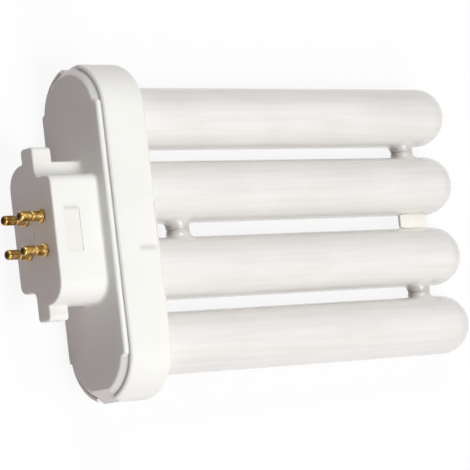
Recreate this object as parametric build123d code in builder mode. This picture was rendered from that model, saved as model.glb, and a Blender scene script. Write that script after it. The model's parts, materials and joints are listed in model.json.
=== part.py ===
from build123d import *
from math import asin, atan2, cos, degrees, hypot, sin
import os

# Four-pin compact fluorescent lamp: four straight tube limbs in a flat row,
# joined end to end by fused bridges, held in a white moulded base with four
# brass contact pins in a keyed plug.
#
# Every piece is drawn in the lamp's own frame, in millimetres:
#   x  across the thin way of the base (+x is the side that lies down)
#   y  along the row of four tubes
#   z  along the tubes, 0 at the plug's pin face and rising towards the tips
# At the end each piece is laid down as the lamp comes to rest on a table.

# Glass
tube_diameter = 15.0
pair_gap = 2.75
middle_gap = 3.3
tube_reach = 103.7
tube_base_gap = 2.4
tube_base_round = 4.0
bridge_diameter = 5.7
bridge_flare = 1.0
bridge_seam_depth = 0.25
bridge_seam_width = 0.6
tip_bridge_from_tip = 13.3
base_bridge_from_holder = 14.6
press_gap = 2.0
press_length = 3.4
press_shoulder = 3.0
press_width = 12.0
press_thickness = 3.4
exhaust_diameter = 2.6
exhaust_length = 1.8

# Moulded holder that carries the tubes
holder_length = 12.3
holder_thickness = 24.0
holder_end_margin = 5.35
holder_front_round = 1.3
holder_rear_round = 0.35
holder_wall = 2.0
holder_front_wall = 1.6
holder_inner_round = 1.2
holder_mouth_wall = 0.85
holder_mouth_depth = 0.9
tube_hole_clearance = 0.25
holder_window_height = 11.2
holder_window_length = 5.6
holder_window_from_front = 1.0
window_depth = 0.2
window_corner = 0.4

# Cap that closes the holder and carries the plug
plug_height = 13.4
plate_stand = 1.3
plate_clearance = 0.05
plate_edge_round = 0.7
end_relief_inset = 1.5
end_relief_from_end_row = 1.55
end_relief_slope = 0.6
end_relief_depth = 1.7
skirt_depth = 2.4
skirt_thickness = 1.0
skirt_clearance = 0.15
catch_width = 6.2
catch_slope_length = 3.1
catch_slope_depth = 3.0
catch_depth = 2.3
catch_clearance = 0.15
lug_set_back = 1.8

# Plug outline, the same after half a turn
plug_thickness = 16.3
plug_long_end = 16.7
plug_step = 3.7
plug_large_round = 5.5
plug_small_round = 2.0
plug_inner_round = 1.6
plug_step_round = 0.6
plug_edge_round = 0.4
plug_root_round = 0.8
plug_wall = 1.4
plug_face_wall = 2.2
key_width = 4.7
key_stand = 3.45
key_length = 5.5
key_round = 1.0
key_inner_round = 0.3
key_top_round = 0.7
plug_window_height = 10.2
plug_window_length = 4.6
plug_window_start = 2.7
gate_mark_diameter = 1.9
gate_mark_depth = 0.2

# Contact pins
pin_spacing_x = 6.35
pin_spacing_y = 7.92
pin_diameter = 2.35
pin_length = 6.8
pin_shank_diameter = 2.7
pin_inner_length = 4.0
pin_bore = 1.1
pin_collar_diameter = 3.15
pin_collar_height = 0.6
pin_tip_round = 0.6
pin_groove_from_face = 2.6
pin_groove_width = 0.45
pin_groove_depth = 0.16
pin_bore_floor = 0.9

# Small pieces
spacer_length = 9.0
spacer_thickness = 1.5
spacer_front = 2.2
spacer_from_tip = 13.8
spacer_edge_round = 0.3
spacer_bond_gap = 0.05
cement_width = 1.2
cement_depth = 2.6
lead_diameter = 0.7
lead_spread = 5.0
lead_bend = 2.0
lead_run_height = 0.9
lead_elbow_share = 0.9
lead_end_from_tip = 1.6

# Values that follow from the dimensions above
tube_radius = tube_diameter / 2
inner_row = (tube_diameter + middle_gap) / 2
outer_row = inner_row + tube_diameter + pair_gap
tube_rows = [outer_row, inner_row, -inner_row, -outer_row]
pair_middle = (outer_row + inner_row) / 2
holder_rear = plug_height + plate_stand
holder_front = holder_rear + holder_length
holder_half = holder_thickness / 2
holder_height = 2 * (tube_rows[0] + tube_radius + holder_end_margin)
holder_end_row = holder_height / 2 - holder_half
cavity_half = holder_half - holder_wall
cavity_front = holder_front - holder_front_wall
mouth_half = holder_half - holder_mouth_wall
plate_half = mouth_half - plate_clearance
plate_inner = holder_rear + holder_mouth_depth
skirt_half = cavity_half - skirt_clearance
catch_reach = holder_height / 2
lug_reach = catch_reach - lug_set_back
tube_tip = holder_front + tube_reach
tube_base_end = plate_inner + tube_base_gap
press_end = plate_inner + press_gap
press_start = press_end + press_length
press_top = press_start + press_shoulder
plug_half = plug_thickness / 2
plug_short_end = plug_long_end - plug_step
key_half = key_width / 2
key_reach = plug_long_end + key_stand
pin_radius = pin_diameter / 2

# Resting place
# The lamp lies on the rounded front edge of the holder and on the four domes
# at the tips of the tubes, so it tilts by the angle between a circle of the
# edge's radius and a circle of the dome's radius.
edge_to_dome = tube_reach - tube_radius + holder_front_round
edge_drop = holder_half - holder_front_round
rest_tilt = atan2(edge_drop, edge_to_dome) - asin(
    (tube_radius - holder_front_round) / hypot(edge_to_dome, edge_drop)
)
rest_height = (tube_tip - tube_radius) * sin(rest_tilt) + tube_radius
front_reach = (tube_tip - tube_radius) * cos(rest_tilt) + tube_radius
pin_tip_edge = pin_spacing_x / 2 + pin_radius - pin_tip_round
rear_reach = (pin_length - pin_tip_round) * cos(rest_tilt) + pin_tip_edge * sin(rest_tilt) + pin_tip_round
lamp_frame = Plane(
    origin=((rear_reach - front_reach) / 2, 0, rest_height),
    x_dir=(-sin(rest_tilt), 0, -cos(rest_tilt)),
    z_dir=(cos(rest_tilt), 0, -sin(rest_tilt)),
)
rest = lamp_frame.location

os.makedirs("parts", exist_ok=True)


# Discharge tube
# One sealed glass vessel. The outer limbs end in flat presses that hold the
# leads, the inner limbs end in rounded caps, one with the stub left by the
# pump, and short fused bridges link the limbs in turn near the tips, near the
# base and near the tips again.
bridges = [
    (pair_middle, tube_tip - tip_bridge_from_tip),
    (0, holder_front + base_bridge_from_holder),
    (-pair_middle, tube_tip - tip_bridge_from_tip),
]
with BuildPart() as discharge_tube:
    with BuildSketch(Plane.XY.offset(tube_base_end)):
        with Locations((0, tube_rows[1]), (0, tube_rows[2])):
            Circle(tube_radius)
    extrude(amount=tube_tip - tube_radius - tube_base_end)
    fillet(discharge_tube.edges().group_by(Axis.Z)[0], tube_base_round)
    with BuildSketch(Plane.XY.offset(press_top)):
        with Locations((0, tube_rows[0]), (0, tube_rows[3])):
            Circle(tube_radius)
    extrude(amount=tube_tip - tube_radius - press_top)
    for row in tube_rows:
        with Locations((0, row, tube_tip - tube_radius)):
            Sphere(tube_radius)
    for row, height in bridges:
        with Locations(Location((0, row, height), (90, 0, 0))):
            Cylinder(bridge_diameter / 2, middle_gap + tube_radius)
    bridge_edges = (
        discharge_tube.edges()
        .filter_by(GeomType.LINE, reverse=True)
        .filter_by(lambda edge: edge.bounding_box().size.Z < bridge_diameter + 0.1)
        .filter_by(lambda edge: edge.bounding_box().size.Z > bridge_diameter / 2 - 0.1)
        .filter_by(lambda edge: edge.bounding_box().size.X > 0.1)
        .filter_by(lambda edge: edge.center().Z > press_top)
    )
    fillet(bridge_edges, bridge_flare)
    for row, height in bridges:
        with BuildSketch(Plane(origin=(0, row, height), x_dir=(0, 1, 0), z_dir=(1, 0, 0))):
            with BuildLine():
                Polyline(
                    (-bridge_seam_width / 2, bridge_diameter / 2 + bridge_seam_depth),
                    (0, bridge_diameter / 2 - bridge_seam_depth),
                    (bridge_seam_width / 2, bridge_diameter / 2 + bridge_seam_depth),
                    close=True,
                )
            make_face()
        revolve(axis=Axis((0, row, height), (0, 1, 0)), mode=Mode.SUBTRACT)
    for row in (tube_rows[0], tube_rows[3]):
        with BuildSketch(Plane.XY.offset(press_top)):
            with Locations((0, row)):
                Circle(tube_radius)
        with BuildSketch(Plane.XY.offset(press_start)):
            with Locations((0, row)):
                SlotOverall(press_width, press_thickness)
        loft()
        with BuildSketch(Plane.XY.offset(press_end)):
            with Locations((0, row)):
                SlotOverall(press_width, press_thickness)
        extrude(amount=press_start - press_end)
    with BuildSketch(Plane.XY.offset(tube_base_end - exhaust_length)):
        with Locations((0, tube_rows[2])):
            Circle(exhaust_diameter / 2)
    extrude(amount=exhaust_length)
discharge_tube.part.label = "discharge_tube"
discharge_tube.part.move(rest)
export_step(discharge_tube.part, "parts/discharge_tube.step")


# Tube holder
# A stadium-shaped cup, open at the rear. Its front wall has four holes for
# the limbs, its mouth is stepped to seat the cap, and a notch at each end of
# the mouth takes the cap's lug or catch.
with BuildPart() as tube_holder:
    with BuildSketch(Plane.XY.offset(holder_rear)):
        SlotOverall(holder_height, holder_thickness, rotation=90)
    extrude(amount=holder_front - holder_rear)
    fillet(tube_holder.edges().group_by(Axis.Z)[-1], holder_front_round)
    chamfer(tube_holder.edges().group_by(Axis.Z)[0], holder_rear_round)
    with BuildSketch(Plane.XY.offset(plate_inner)):
        SlotOverall(2 * (holder_end_row + cavity_half), 2 * cavity_half, rotation=90)
    extrude(amount=cavity_front - plate_inner, mode=Mode.SUBTRACT)
    inner_corner = tube_holder.edges().filter_by(
        lambda edge: abs(edge.center().Z - cavity_front) < 0.01 and edge.bounding_box().size.Z < 0.01
    )
    fillet(inner_corner, holder_inner_round)
    with BuildSketch(Plane.XY.offset(holder_rear)):
        SlotOverall(2 * (holder_end_row + mouth_half), 2 * mouth_half, rotation=90)
    extrude(amount=holder_mouth_depth, mode=Mode.SUBTRACT)
    with BuildSketch(Plane.XY.offset(cavity_front)):
        with Locations(*[(0, row) for row in tube_rows]):
            Circle(tube_radius + tube_hole_clearance)
    extrude(amount=holder_front_wall, mode=Mode.SUBTRACT)
    with BuildSketch(Plane.XY.offset(holder_rear)):
        with Locations((0, catch_reach), (0, -catch_reach)):
            Rectangle(catch_width + 2 * catch_clearance, 4 * holder_wall)
    extrude(amount=catch_depth + catch_clearance, mode=Mode.SUBTRACT)
    with BuildSketch(Plane.YZ.offset(-holder_half)):
        with Locations((0, holder_front - holder_window_from_front - holder_window_length / 2)):
            RectangleRounded(holder_window_height, holder_window_length, window_corner)
    extrude(amount=window_depth, mode=Mode.SUBTRACT)
tube_holder.part.label = "tube_holder"
tube_holder.part.move(rest)
export_step(tube_holder.part, "parts/tube_holder.step")


# Base cap
# A stadium plate that drops into the holder's mouth, with a sloping relief at
# each end, a lug at one end, a sloped catch at the other, a locating skirt
# inside, and the hollow plug. The plug's outline is the same after half a
# turn: each end has a long half with a large round and a short half with a
# small one, and a key stands out at each end.
plug_end = [
    (plug_half, -plug_short_end, plug_small_round),
    (plug_half, plug_long_end, plug_large_round),
    (-key_half, plug_long_end, plug_step_round),
    (-key_half, plug_short_end, plug_inner_round),
]
keyed_end = [
    (plug_half, -plug_short_end, plug_small_round),
    (plug_half, plug_long_end, plug_large_round),
    (key_half, plug_long_end, key_inner_round),
    (key_half, key_reach, key_round),
    (-key_half, key_reach, key_round),
    (-key_half, plug_short_end, plug_inner_round),
]


def half_turn_outline(corners):
    """Draw a closed outline from one end's corners and the same corners turned by half a turn."""
    points = [(x, y) for x, y, corner_round in corners]
    points += [(-x, -y) for x, y in points]
    rounds = [corner_round for x, y, corner_round in corners]
    FilletPolyline(*points, radius=rounds + rounds, close=True)


with BuildSketch() as plug_outline:
    with BuildLine():
        half_turn_outline(plug_end)
    make_face()
with BuildPart() as key_block:
    with BuildSketch():
        with BuildLine():
            half_turn_outline(keyed_end)
        make_face()
    extrude(amount=key_length)
    fillet(key_block.edges().group_by(Axis.Z)[-1], key_top_round)
with BuildSketch(Plane.XY.offset(plug_face_wall)) as plug_cavity:
    with BuildLine():
        half_turn_outline(plug_end)
    make_face()
    offset(amount=-plug_wall, kind=Kind.INTERSECTION)

end_relief_start = holder_end_row + end_relief_from_end_row
with BuildPart() as end_relief:
    with BuildSketch(Plane.XY.offset(plug_height)):
        with BuildLine():
            Polyline(
                (-holder_half, end_relief_start - end_relief_slope * (holder_half - plate_half)),
                (0, end_relief_start + end_relief_slope * plate_half),
                (holder_half, end_relief_start - end_relief_slope * (holder_half - plate_half)),
                (holder_half, holder_height),
                (-holder_half, holder_height),
                close=True,
            )
        make_face()
        mirror(about=Plane.XZ)
    extrude(amount=end_relief_depth)
    for inset, height in ((end_relief_inset, 0), (0, end_relief_depth)):
        with BuildSketch(Plane.XY.offset(plug_height + height)):
            SlotOverall(2 * (holder_end_row + plate_half - inset), 2 * (plate_half - inset), rotation=90)
    loft(ruled=True, mode=Mode.SUBTRACT)

catch_root = catch_reach - catch_slope_length
catch_slope = [(-catch_root, plug_height), (-catch_reach, plug_height + catch_slope_depth)]
catch_end = holder_rear + catch_depth
with BuildPart() as base_cap:
    with BuildSketch(Plane.XY.offset(plug_height)):
        SlotOverall(2 * (holder_end_row + plate_half), 2 * plate_half, rotation=90)
    extrude(amount=plate_inner - plug_height)
    add(end_relief.part, mode=Mode.SUBTRACT)
    fillet(base_cap.faces().sort_by(Axis.Z)[0].outer_wire().edges(), plate_edge_round)
    with BuildSketch(Plane.XY.offset(plate_inner)):
        SlotOverall(2 * (holder_end_row + skirt_half), 2 * skirt_half, rotation=90)
        offset(amount=-skirt_thickness, mode=Mode.SUBTRACT)
    extrude(amount=skirt_depth)
    with BuildSketch(Plane.YZ.offset(-catch_width / 2)):
        with BuildLine():
            Polyline(*catch_slope, (-catch_reach, plug_height), close=True)
        make_face()
    extrude(amount=catch_width, mode=Mode.SUBTRACT)
    with BuildSketch(Plane.YZ.offset(-catch_width / 2)):
        with BuildLine():
            Polyline(*catch_slope, (-catch_reach, catch_end), (-catch_root, catch_end), close=True)
        make_face()
        with BuildLine():
            Polyline(
                (catch_root, plate_inner),
                (lug_reach, plate_inner),
                (lug_reach, catch_end),
                (catch_root, catch_end),
                close=True,
            )
        make_face()
    extrude(amount=catch_width)
    add(plug_outline.sketch)
    extrude(amount=plug_height)
    plug_root = base_cap.edges().filter_by(
        lambda edge: abs(edge.center().Z - plug_height) < 0.01
        and edge.bounding_box().size.Z < 0.01
        and abs(edge.center().X) < plug_half + 0.1
        and abs(edge.center().Y) < plug_long_end + 0.1
    )
    fillet(plug_root, plug_root_round)
    add(key_block.part)
    add(plug_cavity.sketch)
    extrude(amount=plate_inner - plug_face_wall, mode=Mode.SUBTRACT)
    with BuildSketch():
        with GridLocations(pin_spacing_x, pin_spacing_y, 2, 2):
            Circle(pin_shank_diameter / 2)
    extrude(amount=plug_face_wall, mode=Mode.SUBTRACT)
    with BuildSketch():
        Circle(gate_mark_diameter / 2)
    extrude(amount=gate_mark_depth, mode=Mode.SUBTRACT)
    with BuildSketch(Plane.YZ.offset(-plug_half)):
        with Locations((0, plug_window_start + plug_window_length / 2)):
            RectangleRounded(plug_window_height, plug_window_length, window_corner)
    extrude(amount=window_depth, mode=Mode.SUBTRACT)
    face_rim = base_cap.faces().sort_by(Axis.Z)[0].outer_wire().edges()
    fillet(face_rim, plug_edge_round)
base_cap.part.label = "base_cap"
base_cap.part.move(rest)
export_step(base_cap.part, "parts/base_cap.step")


# Contact pins
# Turned brass tubes pressed through the pin face: a rounded closed tip, a
# shallow crimp groove, a collar against the face and an open inner end that
# takes the lead.
pin_places = [
    (side * pin_spacing_x / 2, row * pin_spacing_y / 2)
    for row in (1, -1)
    for side in (-1, 1)
]
for number, (pin_x, pin_y) in enumerate(pin_places, start=1):
    pin_section = Plane(origin=(pin_x, pin_y, 0), x_dir=(1, 0, 0), z_dir=(0, -1, 0))
    with BuildPart() as contact_pin:
        with BuildSketch(pin_section):
            with BuildLine():
                Polyline(
                    (0, -pin_length),
                    (pin_radius, -pin_length),
                    (pin_radius, -pin_groove_from_face - pin_groove_width / 2),
                    (pin_radius - pin_groove_depth, -pin_groove_from_face),
                    (pin_radius, -pin_groove_from_face + pin_groove_width / 2),
                    (pin_radius, -pin_collar_height),
                    (pin_collar_diameter / 2, -pin_collar_height),
                    (pin_collar_diameter / 2, 0),
                    (pin_shank_diameter / 2, 0),
                    (pin_shank_diameter / 2, pin_inner_length),
                    (pin_bore / 2, pin_inner_length),
                    (pin_bore / 2, pin_bore_floor - pin_length),
                    (0, pin_bore_floor - pin_length),
                    close=True,
                )
            make_face()
        revolve(axis=Axis((pin_x, pin_y, 0), (0, 0, 1)))
        tip_edge = contact_pin.edges().group_by(Axis.Z)[0]
        fillet(tip_edge, pin_tip_round)
    contact_pin.part.label = f"contact_pin_{number}"
    contact_pin.part.move(rest)
    export_step(contact_pin.part, f"parts/contact_pin_{number}.step")


# Lead wires
# Each outer limb's press sends two leads over the cap, down into the plug and
# up the bore of a pin, where they are crimped.
lead_run = plate_inner + lead_run_height
for number, (pin_x, pin_y) in enumerate(pin_places, start=1):
    side = 1 if pin_x > 0 else -1
    press_row = tube_rows[0] if pin_y > 0 else tube_rows[3]
    with BuildPart() as lead_wire:
        with BuildLine() as lead_route:
            FilletPolyline(
                (side * lead_spread / 2, press_row, press_end),
                (side * lead_spread / 2, press_row, lead_run),
                (pin_x, pin_y, lead_run),
                (pin_x, pin_y, lead_end_from_tip - pin_length),
                radius=[(press_end - lead_run) * lead_elbow_share, lead_bend],
            )
        with BuildSketch(Plane(origin=lead_route.line @ 0, z_dir=lead_route.line % 0)):
            Circle(lead_diameter / 2)
        sweep()
    lead_wire.part.label = f"lead_wire_{number}"
    lead_wire.part.move(rest)
    export_step(lead_wire.part, f"parts/lead_wire_{number}.step")


# Cement collars
# A bead of cement bonds each limb to the inside of the holder's front wall.
for number, row in enumerate(tube_rows, start=1):
    with BuildPart() as tube_cement:
        with BuildSketch(Plane.XY.offset(cavity_front - cement_depth)):
            with Locations((0, row)):
                Circle(tube_radius + cement_width)
                Circle(tube_radius, mode=Mode.SUBTRACT)
        extrude(amount=cement_depth)
    tube_cement.part.label = f"tube_cement_{number}"
    tube_cement.part.move(rest)
    export_step(tube_cement.part, f"parts/tube_cement_{number}.step")


# Tip spacer
# A pad of silicone bonded between the two inner limbs near the tips, where
# they have no bridge. It lies in the valley on the side away from the table,
# and its sides follow the limbs.
with BuildPart() as tip_spacer:
    with BuildSketch(Plane.XY.offset(tube_tip - spacer_from_tip - spacer_length / 2)):
        with Locations((spacer_thickness / 2 - spacer_front, 0)):
            Rectangle(spacer_thickness, 2 * inner_row)
        with Locations((0, tube_rows[1]), (0, tube_rows[2])):
            Circle(tube_radius + spacer_bond_gap, mode=Mode.SUBTRACT)
    extrude(amount=spacer_length)
    spacer_ends = tip_spacer.faces().filter_by(Plane.YZ).sort_by(Axis.X)[0].edges().filter_by(Axis.Y)
    fillet(spacer_ends, spacer_edge_round)
tip_spacer.part.label = "tip_spacer"
tip_spacer.part.move(rest)
export_step(tip_spacer.part, "parts/tip_spacer.step")

print(f"Resting tilt {degrees(rest_tilt):.2f} degrees")
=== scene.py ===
import json
import math

import bpy
import numpy as np
from mathutils import Matrix, Vector


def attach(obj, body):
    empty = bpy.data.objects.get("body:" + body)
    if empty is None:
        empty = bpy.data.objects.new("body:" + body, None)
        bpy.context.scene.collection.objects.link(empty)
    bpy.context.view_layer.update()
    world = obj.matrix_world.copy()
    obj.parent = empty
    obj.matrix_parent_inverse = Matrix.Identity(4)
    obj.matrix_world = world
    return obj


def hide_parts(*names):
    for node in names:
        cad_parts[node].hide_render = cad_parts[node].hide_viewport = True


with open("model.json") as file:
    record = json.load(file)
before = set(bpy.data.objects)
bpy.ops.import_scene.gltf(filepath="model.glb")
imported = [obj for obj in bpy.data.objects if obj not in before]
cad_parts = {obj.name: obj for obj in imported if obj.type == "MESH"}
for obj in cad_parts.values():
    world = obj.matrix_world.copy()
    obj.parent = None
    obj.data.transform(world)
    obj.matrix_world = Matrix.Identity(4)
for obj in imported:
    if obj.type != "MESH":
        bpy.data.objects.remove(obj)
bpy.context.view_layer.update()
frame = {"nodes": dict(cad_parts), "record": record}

# A four-pin compact fluorescent bulb that lies flat. Sizes are in millimetres
# in the lamp's own frame, as a maker would draw it, and become metres in the
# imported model's frame only when a mesh is made:
#   x  across the thin way of the base, positive towards the floor
#   y  along the row of four limbs
#   z  along the limbs, 0 at the pin face
MM = 0.001

# Sizes of the glass
LIMB_RADIUS = 7.5
LIMB_TIP = 130.7
INNER_ROW = 9.15
OUTER_ROW = 26.9
LIMB_ROWS = [OUTER_ROW, INNER_ROW, -INNER_ROW, -OUTER_ROW]
PAIR_MIDDLE = (OUTER_ROW + INNER_ROW) / 2
PAIR_HALF_SPACING = (OUTER_ROW - INNER_ROW) / 2
INNER_LIMB_END = 18.0
INNER_END_ROUND = 4.0
LIMB_AROUND = 128
PRESS_END = 17.6
PRESS_START = 21.0
PRESS_TOP = 24.0
PRESS_HALF_WIDTH = 6.0
PRESS_HALF_THICKNESS = 1.7
PRESS_SQUARENESS = 0.3
BRIDGE_RADIUS = 2.85
BRIDGE_FLARE = 1.5
SEAM_DEPTH = 0.35
SEAM_HALF_WIDTH = 0.45
SEAM_DEEPEST = math.radians(250.0)
BRIDGE_SUNK = [0.6, 2.0]
BRIDGE_TAPER = 1.2
BRIDGE_AROUND = 96
TIP_BRIDGE = LIMB_TIP - 13.3
BASE_BRIDGE = 41.6
# Each bridge: its middle along the row, half the limbs' spacing there, and its height
BRIDGES = [
    (PAIR_MIDDLE, PAIR_HALF_SPACING, TIP_BRIDGE),
    (0.0, INNER_ROW, BASE_BRIDGE),
    (-PAIR_MIDDLE, PAIR_HALF_SPACING, TIP_BRIDGE),
]
# Painted shade on the glass at a bridge, where it lies between two limbs: a soft-edged box round it,
# and its tint
BRIDGE_SHADE_HALF_SIZE = (6.0, 1.5, 4.5)
BRIDGE_SHADE_SOFTNESS = (1.0, 1.4, 1.5)
BRIDGE_SHADE_TINT = (0.68, 0.665, 0.65)

# Sizes of the contact pins
PIN_X = 3.175
PIN_Y = 3.96
PIN_TIP = -6.6
PIN_RADIUS = 1.175
PIN_DOME = 0.85
PIN_GROOVE = -3.0
PIN_GROOVE_HALF_WIDTH = 0.26
PIN_GROOVE_DEPTH = 0.15
PIN_COLLAR_RADIUS = 1.575
PIN_COLLAR_HEIGHT = 0.6
PIN_COLLAR_ROUND = 0.15
PIN_SHANK_RADIUS = 1.35
PIN_BORE_RADIUS = 0.55
PIN_INNER_END = 4.0
PIN_BORE_FLOOR = -5.9
PIN_INNER_BREAK = 0.05
# Where the pins' tips turn near black, a painted dark reflection
PIN_DARK_TIP_FROM = PIN_TIP + 0.1
PIN_DARK_TIP_TO = PIN_TIP + 0.6
PIN_AROUND = 64
# From the pin face to the middle of a pin's bare wall, where the record puts its mount
PIN_WALL_MIDDLE = 3.4
# Which side of the pin face each pin is on, along x and along y, from pin 1 to pin 4
PIN_SIDES = [(-1, 1), (1, 1), (-1, -1), (1, -1)]

# Sizes of the silicone pad
PAD_CENTRE = LIMB_TIP - 13.8
PAD_HALF_LENGTH = 4.5
PAD_FRONT = -2.2
PAD_BACK = -0.7
PAD_SOFTNESS = 0.32
PAD_END_SOFTNESS = 5.0
PAD_WIDTH_SOFTNESS = 0.4
PAD_AROUND = 72

# The plastic's colours, and the patches at its recesses: centre, half size, softness of the edge and
# tint. Four are painted shade: the plug window's floor is a little darker, and darker bands run along
# the plug window's upper and lower walls and along the band window's lower wall. The band window's
# floor is made a little lighter and bluer.
PLASTIC_DARKER = (0.859, 0.852, 0.815)
PLASTIC_LIGHTER = (0.892, 0.885, 0.846)
PLASTIC_SHADE_AND_TINT_PATCHES = [
    # painted shade: the plug window's floor is a little darker
    ((-7.9, 0.0, 5.0), (0.15, 5.1, 2.3), (0.05, 0.1, 0.1), (0.985, 0.965, 0.955)),
    # painted shade along the plug window's upper wall
    ((-8.0, 5.1, 5.0), (0.3, 0.35, 2.0), (0.1, 0.5, 0.5), (0.81, 0.80, 0.79)),
    # painted shade along the plug window's lower wall
    ((-8.0, -5.0, 5.0), (0.3, 0.2, 2.1), (0.1, 0.4, 0.4), (0.97, 0.97, 0.98)),
    # the band window's floor is a little lighter and bluer
    ((-11.75, 0.0, 23.2), (0.15, 5.6, 2.8), (0.05, 0.1, 0.1), (1.01, 1.0, 1.025)),
    # painted shade along the band window's lower wall
    ((-11.9, -5.3, 23.0), (0.3, 0.5, 2.3), (0.1, 0.75, 0.8), (0.79, 0.78, 0.765)),
]

# Where the photograph was taken from, in the lamp's frame
CAMERA_EYE = (-515.8, -67.4, -368.4)
CAMERA_TARGET = (0.0, -1.7, 59.1)
CAMERA_UP = (-0.1498, 0.9883, 0.0288)
FRAME_PIXELS = 470
FOCAL_PIXELS = 2773.5
SENSOR_WIDTH = 36.0

# The studio, in metres. The floor's own colour lights the lamp from below. Where the
# floor is looked at, it is white with this share of real shading, which keeps the shadow.
FLOOR_HALF = 4.0
FLOOR_COLOUR = (0.50, 0.425, 0.45)
PAPER_COLOUR = (0.95, 0.95, 0.95)
SHADOW_SHARE = 0.1
SURROUND = 0.005
SURROUND_COLOUR = (0.95, 0.97, 1.0)

# The softboxes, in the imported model's frame: name, direction, watts
SOFTBOX_SIZE = 0.3
SOFTBOX_DISTANCE = 0.7
AIM = (0.0, 0.0, 0.01)
SOFTBOXES = [
    ("main_softbox", (0.0, -0.34, 0.94), 2.55),
    ("left_softbox", (0.0, 0.71, 0.71), 1.87),
    ("right_softbox", (0.0, -0.71, 0.71), 1.15),
    ("low_right_softbox", (0.0, -0.97, 0.26), 0.85),
    ("tip_softbox", (0.34, 0.0, 0.94), 0.4),
    ("far_left_softbox", (0.62, 0.4, 0.68), 0.1),
    ("pin_left_softbox", (-0.49, 0.84, 0.24), 0.2),
    ("pin_right_softbox", (-0.49, -0.84, 0.24), 0.18),
]


# The lamp's frame. The record's pin mounts give the direction of the limbs and the pin face.
mounts = {mount["name"]: mount for mount in frame["record"]["mounts"]}
pin_mounts = [mounts[f"contact_pin_{number}"] for number in (1, 2, 3, 4)]
along = -Vector(pin_mounts[0]["axis"]).normalized()
row = Vector((0.0, 1.0, 0.0))
across = row.cross(along)
pin_centre = sum((Vector(mount["pos_m"]) for mount in pin_mounts), Vector()) / len(pin_mounts)
LAMP = Matrix((across, row, along)).transposed().to_4x4()
LAMP.translation = pin_centre + along * PIN_WALL_MIDDLE * MM
LAMP_ROTATION = np.array(LAMP.to_3x3())
LAMP_ORIGIN = np.array(LAMP.translation)


def from_lamp(points):
    """Turn lamp coordinates in millimetres, one row each, into frame coordinates in metres."""
    return np.asarray(points, float) * MM @ LAMP_ROTATION.T + LAMP_ORIGIN


def mesh_piece(name, shells, material):
    """Make one object from closed shells, each a vertex array and a list of face arrays."""
    vertices, faces, start = [], [], 0
    for points, polygons in shells:
        vertices.append(from_lamp(points))
        faces.extend((np.asarray(block) + start).tolist() for block in polygons)
        start += len(points)
    mesh = bpy.data.meshes.new(name)
    faces = [face for block in faces for face in block]
    mesh.from_pydata(np.concatenate(vertices).tolist(), [], faces)
    mesh.update()
    mesh.shade_smooth()
    piece = bpy.data.objects.new(name, mesh)
    bpy.context.scene.collection.objects.link(piece)
    mesh.materials.append(material)
    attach(piece, "root")
    return piece


def closed_grid(grid, flip=False):
    """Close a grid (rings, points, 3) into a shell: quads between rings and a fan at each end."""
    rings, points = grid.shape[:2]
    centres = [grid[0].mean(0)[None], grid[-1].mean(0)[None]]
    vertices = np.concatenate([grid.reshape(-1, 3), *centres])
    i, j = np.meshgrid(np.arange(rings - 1), np.arange(points), indexing="ij")
    k = (j + 1) % points
    near, far = i * points, (i + 1) * points
    quads = np.stack([near + j, near + k, far + k, far + j], -1).reshape(-1, 4)
    a = np.arange(points)
    b = (a + 1) % points
    first, last = rings * points, rings * points + 1
    start_fan = np.stack([b, a, np.full(points, first)], -1)
    last_ring = (rings - 1) * points
    end_fan = np.stack([last_ring + a, last_ring + b, np.full(points, last)], -1)
    blocks = [quads, start_fan, end_fan]
    if flip:
        blocks = [block[:, ::-1] for block in blocks]
    return vertices, blocks


# Materials
def new_material(name):
    """Start a material and return it with its nodes, links and shader."""
    material = bpy.data.materials.new(name)
    material.use_nodes = True
    nodes, links = material.node_tree.nodes, material.node_tree.links
    return material, nodes, links, nodes["Principled BSDF"]


def lamp_coordinates(nodes, links, scale=(1.0, 1.0, 1.0)):
    """Object coordinates turned into the lamp's frame, in metres, and scaled."""
    place = nodes.new("ShaderNodeTexCoord")
    turn = nodes.new("ShaderNodeMapping")
    turn.vector_type = "POINT"
    turn.inputs["Rotation"].default_value = LAMP.inverted().to_euler()
    turn.inputs["Location"].default_value = LAMP.inverted().translation
    stretch = nodes.new("ShaderNodeMapping")
    stretch.inputs["Scale"].default_value = scale
    links.new(place.outputs["Object"], turn.inputs["Vector"])
    links.new(turn.outputs["Vector"], stretch.inputs["Vector"])
    return stretch.outputs["Vector"]


def noise(nodes, links, vector, scale, detail=2.0, roughness=0.5):
    """A noise texture on the given coordinates."""
    texture = nodes.new("ShaderNodeTexNoise")
    texture.inputs["Scale"].default_value = scale
    texture.inputs["Detail"].default_value = detail
    texture.inputs["Roughness"].default_value = roughness
    links.new(vector, texture.inputs["Vector"])
    return texture.outputs["Fac"]


def ramp(nodes, links, value, stops):
    """A colour ramp with the given (position, colour) stops."""
    colours = nodes.new("ShaderNodeValToRGB")
    elements = colours.color_ramp.elements
    for index, (position, colour) in enumerate(stops):
        element = elements[index] if index < 2 else elements.new(position)
        element.position = position
        element.color = (*colour, 1.0)
    links.new(value, colours.inputs["Fac"])
    return colours.outputs["Color"]


def level(nodes, links, value, low, high):
    """Map a 0 to 1 value to the range low to high."""
    mapping = nodes.new("ShaderNodeMapRange")
    mapping.inputs["To Min"].default_value = low
    mapping.inputs["To Max"].default_value = high
    links.new(value, mapping.inputs["Value"])
    return mapping.outputs["Result"]


def bump(nodes, links, height, distance, strength):
    """A bump of the given height in metres."""
    node = nodes.new("ShaderNodeBump")
    node.inputs["Distance"].default_value = distance
    node.inputs["Strength"].default_value = strength
    links.new(height, node.inputs["Height"])
    return node.outputs["Normal"]


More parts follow.
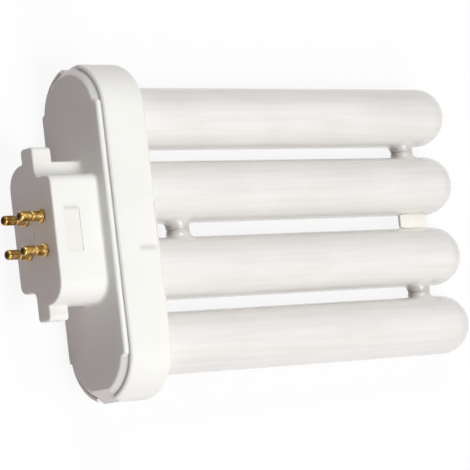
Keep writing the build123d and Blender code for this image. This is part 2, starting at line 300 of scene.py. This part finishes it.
def soft_patch(nodes, links, centre, half_size, softness):
    """1 inside a box in the lamp's frame, in millimetres, falling to 0 outside it as a smoothstep."""
    offset = nodes.new("ShaderNodeVectorMath")
    offset.operation = "SUBTRACT"
    offset.inputs[1].default_value = [value * MM for value in centre]
    links.new(lamp_coordinates(nodes, links), offset.inputs[0])
    distance = nodes.new("ShaderNodeVectorMath")
    distance.operation = "ABSOLUTE"
    links.new(offset.outputs["Vector"], distance.inputs[0])
    parts = nodes.new("ShaderNodeSeparateXYZ")
    links.new(distance.outputs["Vector"], parts.inputs["Vector"])
    inside = None
    for axis, half, soft in zip("XYZ", half_size, softness):
        edge = nodes.new("ShaderNodeMapRange")
        edge.interpolation_type = "SMOOTHSTEP"
        edge.inputs["From Min"].default_value = (half + soft) * MM
        edge.inputs["From Max"].default_value = (half - soft) * MM
        links.new(parts.outputs[axis], edge.inputs["Value"])
        if inside is None:
            inside = edge.outputs["Result"]
            continue
        both = nodes.new("ShaderNodeMath")
        both.operation = "MULTIPLY"
        links.new(inside, both.inputs[0])
        links.new(edge.outputs["Result"], both.inputs[1])
        inside = both.outputs[0]
    return inside


def tinted(nodes, links, colour, share, tint):
    """The colour times the tint, where the share is 1."""
    mix = nodes.new("ShaderNodeMix")
    mix.data_type = "RGBA"
    mix.blend_type = "MULTIPLY"
    mix.inputs["B"].default_value = (*tint, 1.0)
    links.new(share, mix.inputs["Factor"])
    links.new(colour, mix.inputs["A"])
    return mix.outputs["Result"]


def coated_glass():
    """Clear glass over a white phosphor coat: faint streaks, a soft gloss, and painted shade at the
    bridges.
    """
    material, nodes, links, shader = new_material("coated_glass")
    streaks = noise(nodes, links, lamp_coordinates(nodes, links, (800.0, 800.0, 30.0)), 1.0, 3.0, 0.6)
    clouds = noise(nodes, links, lamp_coordinates(nodes, links), 55.0, 2.0)
    mixed = nodes.new("ShaderNodeMix")
    mixed.inputs["Factor"].default_value = 0.4
    links.new(streaks, mixed.inputs["A"])
    links.new(clouds, mixed.inputs["B"])
    coat = [(0.38, (0.88, 0.865, 0.842)), (0.62, (0.965, 0.952, 0.932))]
    colour = ramp(nodes, links, mixed.outputs["Result"], coat)
    # Painted shade: the glass is made darker at each bridge
    for middle, _, height in BRIDGES:
        fused = soft_patch(nodes, links, (0.0, middle, height), BRIDGE_SHADE_HALF_SIZE, BRIDGE_SHADE_SOFTNESS)
        colour = tinted(nodes, links, colour, fused, BRIDGE_SHADE_TINT)
    links.new(colour, shader.inputs["Base Color"])
    links.new(level(nodes, links, clouds, 0.30, 0.42), shader.inputs["Roughness"])
    links.new(bump(nodes, links, streaks, 0.00003, 0.25), shader.inputs["Normal"])
    shader.inputs["Coat Weight"].default_value = 1.0
    shader.inputs["Coat Roughness"].default_value = 0.1
    shader.inputs["Coat IOR"].default_value = 1.42
    shader.inputs["Coat Tint"].default_value = (0.895, 0.885, 0.875, 1.0)
    shader.inputs["IOR"].default_value = 1.5
    return material


def moulded_plastic():
    """White moulded plastic: fine mould grain, slow colour drift, satin gloss, painted shade in and
    along its recesses, and a lighter floor in the band window.
    """
    material, nodes, links, shader = new_material("white_plastic")
    drift = noise(nodes, links, lamp_coordinates(nodes, links), 60.0, 3.0)
    grain = noise(nodes, links, lamp_coordinates(nodes, links), 3500.0, 2.0)
    colour = ramp(nodes, links, drift, [(0.3, PLASTIC_DARKER), (0.7, PLASTIC_LIGHTER)])
    # Painted shade in and along the recesses, and a lighter floor in the band window
    for centre, half_size, softness, tint in PLASTIC_SHADE_AND_TINT_PATCHES:
        shade_and_tint_mask = soft_patch(nodes, links, centre, half_size, softness)
        colour = tinted(nodes, links, colour, shade_and_tint_mask, tint)
    links.new(colour, shader.inputs["Base Color"])
    links.new(level(nodes, links, drift, 0.36, 0.46), shader.inputs["Roughness"])
    links.new(bump(nodes, links, grain, 0.00002, 0.2), shader.inputs["Normal"])
    shader.inputs["IOR"].default_value = 1.48
    shader.inputs["Subsurface Weight"].default_value = 0.35
    shader.inputs["Subsurface Radius"].default_value = (0.0018, 0.0016, 0.0015)
    shader.inputs["Subsurface Scale"].default_value = 1.0
    return material


def turned_brass():
    """Turned brass: fine rings round the pin, patchy tarnish, and tips painted near black as a
    painted dark reflection.
    """
    material, nodes, links, shader = new_material("pin_brass")
    rings = noise(nodes, links, lamp_coordinates(nodes, links, (40.0, 40.0, 9000.0)), 1.0, 2.0)
    patches = noise(nodes, links, lamp_coordinates(nodes, links), 700.0, 3.0, 0.6)
    tarnish = [(0.34, (0.26, 0.13, 0.03)), (0.5, (0.52, 0.32, 0.09)), (0.70, (0.86, 0.66, 0.33))]
    colour = ramp(nodes, links, patches, tarnish)
    height = nodes.new("ShaderNodeSeparateXYZ")
    links.new(lamp_coordinates(nodes, links), height.inputs["Vector"])
    # Painted dark reflection: the base colour turns near black towards the tip
    dark_tip = nodes.new("ShaderNodeMapRange")
    dark_tip.interpolation_type = "SMOOTHSTEP"
    dark_tip.inputs["From Min"].default_value = PIN_DARK_TIP_FROM * MM
    dark_tip.inputs["From Max"].default_value = PIN_DARK_TIP_TO * MM
    links.new(height.outputs["Z"], dark_tip.inputs["Value"])
    finish = nodes.new("ShaderNodeMix")
    finish.data_type = "RGBA"
    finish.inputs["A"].default_value = (0.035, 0.018, 0.008, 1.0)
    links.new(dark_tip.outputs["Result"], finish.inputs["Factor"])
    links.new(colour, finish.inputs["B"])
    links.new(finish.outputs["Result"], shader.inputs["Base Color"])
    shader.inputs["Metallic"].default_value = 1.0
    links.new(level(nodes, links, patches, 0.32, 0.16), shader.inputs["Roughness"])
    links.new(bump(nodes, links, rings, 0.00002, 0.2), shader.inputs["Normal"])
    return material


def cream_silicone():
    """Soft cream silicone: matt, slightly translucent, with a fine cloudy grain."""
    material, nodes, links, shader = new_material("silicone")
    clouds = noise(nodes, links, lamp_coordinates(nodes, links), 400.0, 3.0)
    colour = ramp(nodes, links, clouds, [(0.3, (0.885, 0.855, 0.785)), (0.7, (0.93, 0.905, 0.84))])
    links.new(colour, shader.inputs["Base Color"])
    links.new(bump(nodes, links, clouds, 0.00008, 0.3), shader.inputs["Normal"])
    shader.inputs["Roughness"].default_value = 0.6
    shader.inputs["Subsurface Weight"].default_value = 0.2
    shader.inputs["Subsurface Radius"].default_value = (0.002, 0.0015, 0.001)
    return material


def drawn_wire():
    """Nickel-plated wire with faint drawing lines."""
    material, nodes, links, shader = new_material("lead_metal")
    lines = noise(nodes, links, lamp_coordinates(nodes, links), 5000.0, 2.0)
    colour = ramp(nodes, links, lines, [(0.3, (0.55, 0.53, 0.50)), (0.7, (0.72, 0.70, 0.67))])
    links.new(colour, shader.inputs["Base Color"])
    links.new(bump(nodes, links, lines, 0.00001, 0.3), shader.inputs["Normal"])
    shader.inputs["Metallic"].default_value = 1.0
    shader.inputs["Roughness"].default_value = 0.3
    return material


def cured_cement():
    """Off-white cured cement: matt and grainy."""
    material, nodes, links, shader = new_material("cement")
    grain = noise(nodes, links, lamp_coordinates(nodes, links), 1500.0, 5.0, 0.6)
    colour = ramp(nodes, links, grain, [(0.3, (0.62, 0.60, 0.55)), (0.7, (0.78, 0.76, 0.71))])
    links.new(colour, shader.inputs["Base Color"])
    links.new(bump(nodes, links, grain, 0.0002, 0.6), shader.inputs["Normal"])
    shader.inputs["Roughness"].default_value = 0.9
    return material


# Glass vessel
def full_turn(points):
    """Equally spaced angles all the way round, without the last one, which is the first."""
    return np.linspace(0.0, 2.0 * math.pi, points, endpoint=False)


def ring_profile(z, radius, centre_y):
    """Rings about a limb's axis: (radius cos a, centre + radius sin a, z)."""
    angle = full_turn(LIMB_AROUND)
    z, radius = z[:, None], radius[:, None]
    side = centre_y + radius * np.sin(angle)
    return np.stack([radius * np.cos(angle), side, z + 0.0 * angle], axis=-1)


def dome(steps=28):
    """Heights and radii of a limb's hemispherical tip, from its equator to just before its pole."""
    angle = np.linspace(0.0, math.pi / 2, steps)[:-1]
    return LIMB_TIP - LIMB_RADIUS + LIMB_RADIUS * np.sin(angle), LIMB_RADIUS * np.cos(angle)


def inner_limb(centre_y):
    """A straight limb: a rounded base end, a cylinder and a hemispherical tip."""
    corner = np.linspace(0.0, math.pi / 2, 12)
    base_z = INNER_LIMB_END + INNER_END_ROUND * (1 - np.cos(corner))
    base_radius = LIMB_RADIUS - INNER_END_ROUND * (1 - np.sin(corner))
    shaft_z = np.linspace(base_z[-1], LIMB_TIP - LIMB_RADIUS, 40)[1:-1]
    dome_z, dome_radius = dome()
    z = np.concatenate([base_z, shaft_z, dome_z])
    radius = np.concatenate([base_radius, np.full(len(shaft_z), LIMB_RADIUS), dome_radius])
    return closed_grid(ring_profile(z, radius, centre_y))


def outer_limb(centre_y):
    """A limb whose base end is pressed flat: a circle that turns into a slot as a smoothstep."""
    z = np.concatenate(
        [
            np.linspace(PRESS_END, PRESS_START, 5),
            np.linspace(PRESS_START, PRESS_TOP, 14)[1:],
            np.linspace(PRESS_TOP, LIMB_TIP - LIMB_RADIUS, 38)[1:-1],
        ]
    )
    dome_z, dome_radius = dome()
    z = np.concatenate([z, dome_z])
    radius = np.concatenate([np.full(len(z) - len(dome_z), LIMB_RADIUS), dome_radius])
    rings = ring_profile(z, radius, 0.0)
    step = np.clip((PRESS_TOP - z) / (PRESS_TOP - PRESS_START), 0.0, 1.0)[:, None]
    pressed = step * step * (3 - 2 * step)
    angle = full_turn(LIMB_AROUND)
    flat = PRESS_HALF_WIDTH - PRESS_HALF_THICKNESS
    slot_x = np.sign(np.cos(angle)) * flat * np.abs(np.cos(angle)) ** PRESS_SQUARENESS
    slot_x = slot_x + PRESS_HALF_THICKNESS * np.cos(angle)
    slot_y = PRESS_HALF_THICKNESS * np.sin(angle)
    rings[..., 0] += pressed * (slot_x - rings[..., 0])
    rings[..., 1] += pressed * (slot_y - rings[..., 1])
    rings[..., 1] += centre_y
    return closed_grid(rings)


def bridge(middle_y, half_spacing, centre_z):
    """A fused bridge between two limbs, worked out round its own axis, which runs along y.

    Each half leaves the middle plane as a neck with a pinched seam, seam(d) = depth (1 - d/w)^2,
    whose depth falls off round the neck as cos((a - SEAM_DEEPEST) / 2)^4. It then follows a
    quadratic curve that is tangent to the neck and to the limb's cylinder, whose depth at radius R
    and angle a is half_spacing - sqrt(limb^2 - (R cos a)^2). It closes inside the limb.
    """
    angle = full_turn(BRIDGE_AROUND)[None, :]
    outer = BRIDGE_RADIUS + BRIDGE_FLARE
    reach = np.sqrt(LIMB_RADIUS**2 - (outer * np.cos(angle)) ** 2)
    foot = half_spacing - reach
    slope = outer * np.cos(angle) ** 2 / reach
    knee = foot - slope * BRIDGE_FLARE
    start = np.maximum(knee - BRIDGE_FLARE, SEAM_HALF_WIDTH)
    t = np.linspace(0.0, 1.0, 14)[:, None]
    flare_depth = (1 - t) ** 2 * start + 2 * t * (1 - t) * knee + t**2 * foot
    flare_radius = BRIDGE_RADIUS + BRIDGE_FLARE * t**2 + 0.0 * angle
    neck = np.linspace(0.0, 1.0, 7)[:-1, None] * start
    pinch = np.clip(1 - neck / SEAM_HALF_WIDTH, 0.0, 1.0)
    seam_depth = SEAM_DEPTH * np.cos((angle - SEAM_DEEPEST) / 2) ** 4
    neck_radius = BRIDGE_RADIUS - seam_depth * pinch**2
    sunk = np.array(BRIDGE_SUNK)[:, None]
    sunk_depth = foot + sunk
    sunk_radius = outer - sunk * BRIDGE_TAPER + 0.0 * angle
    depth = np.concatenate([neck, flare_depth, sunk_depth])
    radius = np.concatenate([neck_radius, flare_radius, sunk_radius])
    depth = np.concatenate([-depth[:0:-1], depth])
    radius = np.concatenate([radius[:0:-1], radius])
    height = centre_z + radius * np.sin(angle)
    rings = np.stack([radius * np.cos(angle), middle_y + depth, height], axis=-1)
    return closed_grid(rings, flip=True)


def glass_vessel(material):
    """All four limbs and the three bridges, one blown and fused piece."""
    shells = [
        outer_limb(LIMB_ROWS[0]),
        inner_limb(LIMB_ROWS[1]),
        inner_limb(LIMB_ROWS[2]),
        outer_limb(LIMB_ROWS[3]),
    ]
    shells.extend(bridge(*sizes) for sizes in BRIDGES)
    piece = mesh_piece("glass_vessel", shells, material)
    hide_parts("discharge_tube")


# Contact pins
def contact_pin(number, side_x, side_y, material):
    """One turned pin, a profile (radius, height) revolved about its own axis.

    The tip is the quarter ellipse (R sin t, tip + dome (1 - cos t)), the crimp groove is the raised
    cosine depth (1 + cos(pi h / half_width)) / 2, and the collar has quarter-round edges. The open
    inner end and the bore follow, down to the bore's floor.
    """
    quarter = np.linspace(0.0, math.pi / 2, 18)[1:]
    dome_height = PIN_TIP + PIN_DOME * (1 - np.cos(quarter))
    dome_part = np.stack([PIN_RADIUS * np.sin(quarter), dome_height], -1)
    across_groove = np.linspace(-PIN_GROOVE_HALF_WIDTH, PIN_GROOVE_HALF_WIDTH, 15)
    groove_cut = PIN_GROOVE_DEPTH * (1 + np.cos(math.pi * across_groove / PIN_GROOVE_HALF_WIDTH)) / 2
    groove_part = np.stack([PIN_RADIUS - groove_cut, PIN_GROOVE + across_groove], -1)
    edge = np.linspace(0.0, math.pi / 2, 7)
    edge_radius = PIN_COLLAR_RADIUS - PIN_COLLAR_ROUND + PIN_COLLAR_ROUND * np.sin(edge)
    edge_height = -PIN_COLLAR_HEIGHT + PIN_COLLAR_ROUND * (1 - np.cos(edge))
    lower_edge = np.stack([edge_radius, edge_height], -1)
    corners = [
        (PIN_RADIUS, PIN_TIP + PIN_DOME + 0.3),
        (PIN_RADIUS, PIN_GROOVE - PIN_GROOVE_HALF_WIDTH - 0.3),
    ]
    neck = [
        (PIN_RADIUS, PIN_GROOVE + PIN_GROOVE_HALF_WIDTH + 0.3),
        (PIN_RADIUS, -PIN_COLLAR_HEIGHT - 0.04),
        (PIN_RADIUS + 0.01, -PIN_COLLAR_HEIGHT - 0.01),
        (PIN_RADIUS + 0.04, -PIN_COLLAR_HEIGHT),
    ]
    inner = [
        (PIN_COLLAR_RADIUS, -0.03),
        (PIN_COLLAR_RADIUS - 0.03, 0.0),
        (PIN_SHANK_RADIUS + 0.02, 0.0),
        (PIN_SHANK_RADIUS, 0.02),
        (PIN_SHANK_RADIUS, PIN_INNER_END - PIN_INNER_BREAK),
        (PIN_SHANK_RADIUS - PIN_INNER_BREAK, PIN_INNER_END),
        (PIN_BORE_RADIUS + PIN_INNER_BREAK, PIN_INNER_END),
        (PIN_BORE_RADIUS, PIN_INNER_END - PIN_INNER_BREAK),
        (PIN_BORE_RADIUS, PIN_BORE_FLOOR + PIN_INNER_BREAK),
        (PIN_BORE_RADIUS - PIN_INNER_BREAK, PIN_BORE_FLOOR),
    ]
    profile = np.concatenate([dome_part, corners, groove_part, neck, lower_edge, inner])
    angle = full_turn(PIN_AROUND)[None, :]
    radius, height = profile[:, :1], profile[:, 1:]
    x = side_x * PIN_X + radius * np.cos(angle)
    y = side_y * PIN_Y + radius * np.sin(angle)
    rings = np.stack([x, y, height + 0.0 * angle], axis=-1)
    piece = mesh_piece(f"turned_pin_{number}", [closed_grid(rings)], material)
    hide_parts(f"contact_pin_{number}")


# Silicone pad
def silicone_pad(material):
    """A soft-edged pad in the valley between the two inner limbs.

    A section across the limbs is the curve x = c + h cos(a)^s, side = sin(a)^s, with side carried
    out to the limbs' surfaces, y = side (row - sqrt(limb^2 - x^2)). Towards both ends, w = -1 and 1,
    its thickness shrinks by k = (1 - |w|^n)^(1/n) and its width by k^m.
    """
    angle = full_turn(PAD_AROUND)[None, :]
    w = np.sin(np.linspace(-math.pi / 2, math.pi / 2, 41))[1:-1, None]
    shrink = (1 - np.abs(w) ** PAD_END_SOFTNESS) ** (1 / PAD_END_SOFTNESS)
    middle, half = (PAD_FRONT + PAD_BACK) / 2, (PAD_BACK - PAD_FRONT) / 2
    soft_cos = np.sign(np.cos(angle)) * np.abs(np.cos(angle)) ** PAD_SOFTNESS
    soft_sin = np.sign(np.sin(angle)) * np.abs(np.sin(angle)) ** PAD_SOFTNESS
    x = middle + half * shrink * soft_cos
    y = shrink**PAD_WIDTH_SOFTNESS * soft_sin * (INNER_ROW - np.sqrt(LIMB_RADIUS**2 - x**2))
    z = PAD_CENTRE + PAD_HALF_LENGTH * w + 0.0 * angle
    piece = mesh_piece("silicone_pad", [closed_grid(np.stack([x, y, z], axis=-1))], material)
    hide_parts("tip_spacer")


# Floor, light and camera
def seen_as_white(nodes, links):
    """1 for the rays that look at the background: from the camera, off gloss, or through glass."""
    path = nodes.new("ShaderNodeLightPath")
    looking = path.outputs["Is Camera Ray"]
    for ray in ("Is Glossy Ray", "Is Transmission Ray"):
        either = nodes.new("ShaderNodeMath")
        either.operation = "MAXIMUM"
        links.new(looking, either.inputs[0])
        links.new(path.outputs[ray], either.inputs[1])
        looking = either.outputs[0]
    return looking


def studio_floor():
    """A plain pale floor that looks white and keeps a faint shadow of the lamp."""
    material, nodes, links, shader = new_material("studio_floor")
    shader.inputs["Base Color"].default_value = (*FLOOR_COLOUR, 1.0)
    shader.inputs["Roughness"].default_value = 0.9
    paper = nodes.new("ShaderNodeBsdfDiffuse")
    paper.inputs["Color"].default_value = (*PAPER_COLOUR, 1.0)
    white = nodes.new("ShaderNodeEmission")
    sheet = nodes.new("ShaderNodeMixShader")
    sheet.inputs["Fac"].default_value = 1.0 - SHADOW_SHARE
    links.new(paper.outputs["BSDF"], sheet.inputs[1])
    links.new(white.outputs["Emission"], sheet.inputs[2])
    mix = nodes.new("ShaderNodeMixShader")
    links.new(seen_as_white(nodes, links), mix.inputs["Fac"])
    links.new(shader.outputs["BSDF"], mix.inputs[1])
    links.new(sheet.outputs["Shader"], mix.inputs[2])
    links.new(mix.outputs["Shader"], nodes["Material Output"].inputs["Surface"])
    mesh = bpy.data.meshes.new("floor")
    half = FLOOR_HALF
    corners = [(-half, -half, 0), (half, -half, 0), (half, half, 0), (-half, half, 0)]
    mesh.from_pydata(corners, [], [(0, 1, 2, 3)])
    floor = bpy.data.objects.new("floor", mesh)
    mesh.materials.append(material)
    bpy.context.scene.collection.objects.link(floor)


def soft_light(name, direction, power):
    """A square white softbox, aimed at the lamp."""
    lamp = bpy.data.lights.new(name, "AREA")
    lamp.shape = "SQUARE"
    lamp.size = SOFTBOX_SIZE
    lamp.energy = power
    box = bpy.data.objects.new(name, lamp)
    box.location = Vector(direction).normalized() * SOFTBOX_DISTANCE
    box.rotation_euler = (Vector(AIM) - box.location).to_track_quat("-Z", "Y").to_euler()
    bpy.context.scene.collection.objects.link(box)


def studio_world():
    """A dim even surround that is white where the camera, gloss or glass looks at it."""
    world = bpy.data.worlds.new("studio")
    world.use_nodes = True
    nodes, links = world.node_tree.nodes, world.node_tree.links
    dim = nodes["Background"]
    dim.inputs["Color"].default_value = (*SURROUND_COLOUR, 1.0)
    dim.inputs["Strength"].default_value = SURROUND
    white = nodes.new("ShaderNodeBackground")
    mix = nodes.new("ShaderNodeMixShader")
    links.new(seen_as_white(nodes, links), mix.inputs["Fac"])
    links.new(dim.outputs["Background"], mix.inputs[1])
    links.new(white.outputs["Background"], mix.inputs[2])
    links.new(mix.outputs["Shader"], nodes["World Output"].inputs["Surface"])
    bpy.context.scene.world = world


def photo_camera():
    """The camera at the photograph's viewpoint, with its image's top along CAMERA_UP."""
    camera = bpy.data.cameras.new("camera")
    camera.sensor_width = SENSOR_WIDTH
    camera.lens = FOCAL_PIXELS / FRAME_PIXELS * SENSOR_WIDTH
    camera.clip_start = 0.01
    camera.clip_end = 20.0
    holder = bpy.data.objects.new("camera", camera)
    rotation = LAMP.to_3x3()
    back = (rotation @ (Vector(CAMERA_EYE) - Vector(CAMERA_TARGET))).normalized()
    side = (rotation @ Vector(CAMERA_UP)).cross(back).normalized()
    holder.matrix_world = Matrix((side, back.cross(side), back)).transposed().to_4x4()
    holder.location = from_lamp([CAMERA_EYE])[0]
    bpy.context.scene.collection.objects.link(holder)
    bpy.context.scene.camera = holder


def dress(node, material):
    """Give a CAD node its finish."""
    mesh = frame["nodes"][node].data
    mesh.materials.clear()
    mesh.materials.append(material)


photo_camera()
studio_world()
studio_floor()
for name, direction, power in SOFTBOXES:
    soft_light(name, direction, power)

glass = coated_glass()
plastic = moulded_plastic()
brass = turned_brass()
silicone = cream_silicone()
wire = drawn_wire()
cement = cured_cement()

glass_vessel(glass)
silicone_pad(silicone)
dress("tube_holder", plastic)
dress("base_cap", plastic)
for number, (side_x, side_y) in enumerate(PIN_SIDES, start=1):
    contact_pin(number, side_x, side_y, brass)
    dress(f"lead_wire_{number}", wire)
    dress(f"tube_cement_{number}", cement)

bpy.context.scene.view_settings.view_transform = "Standard"
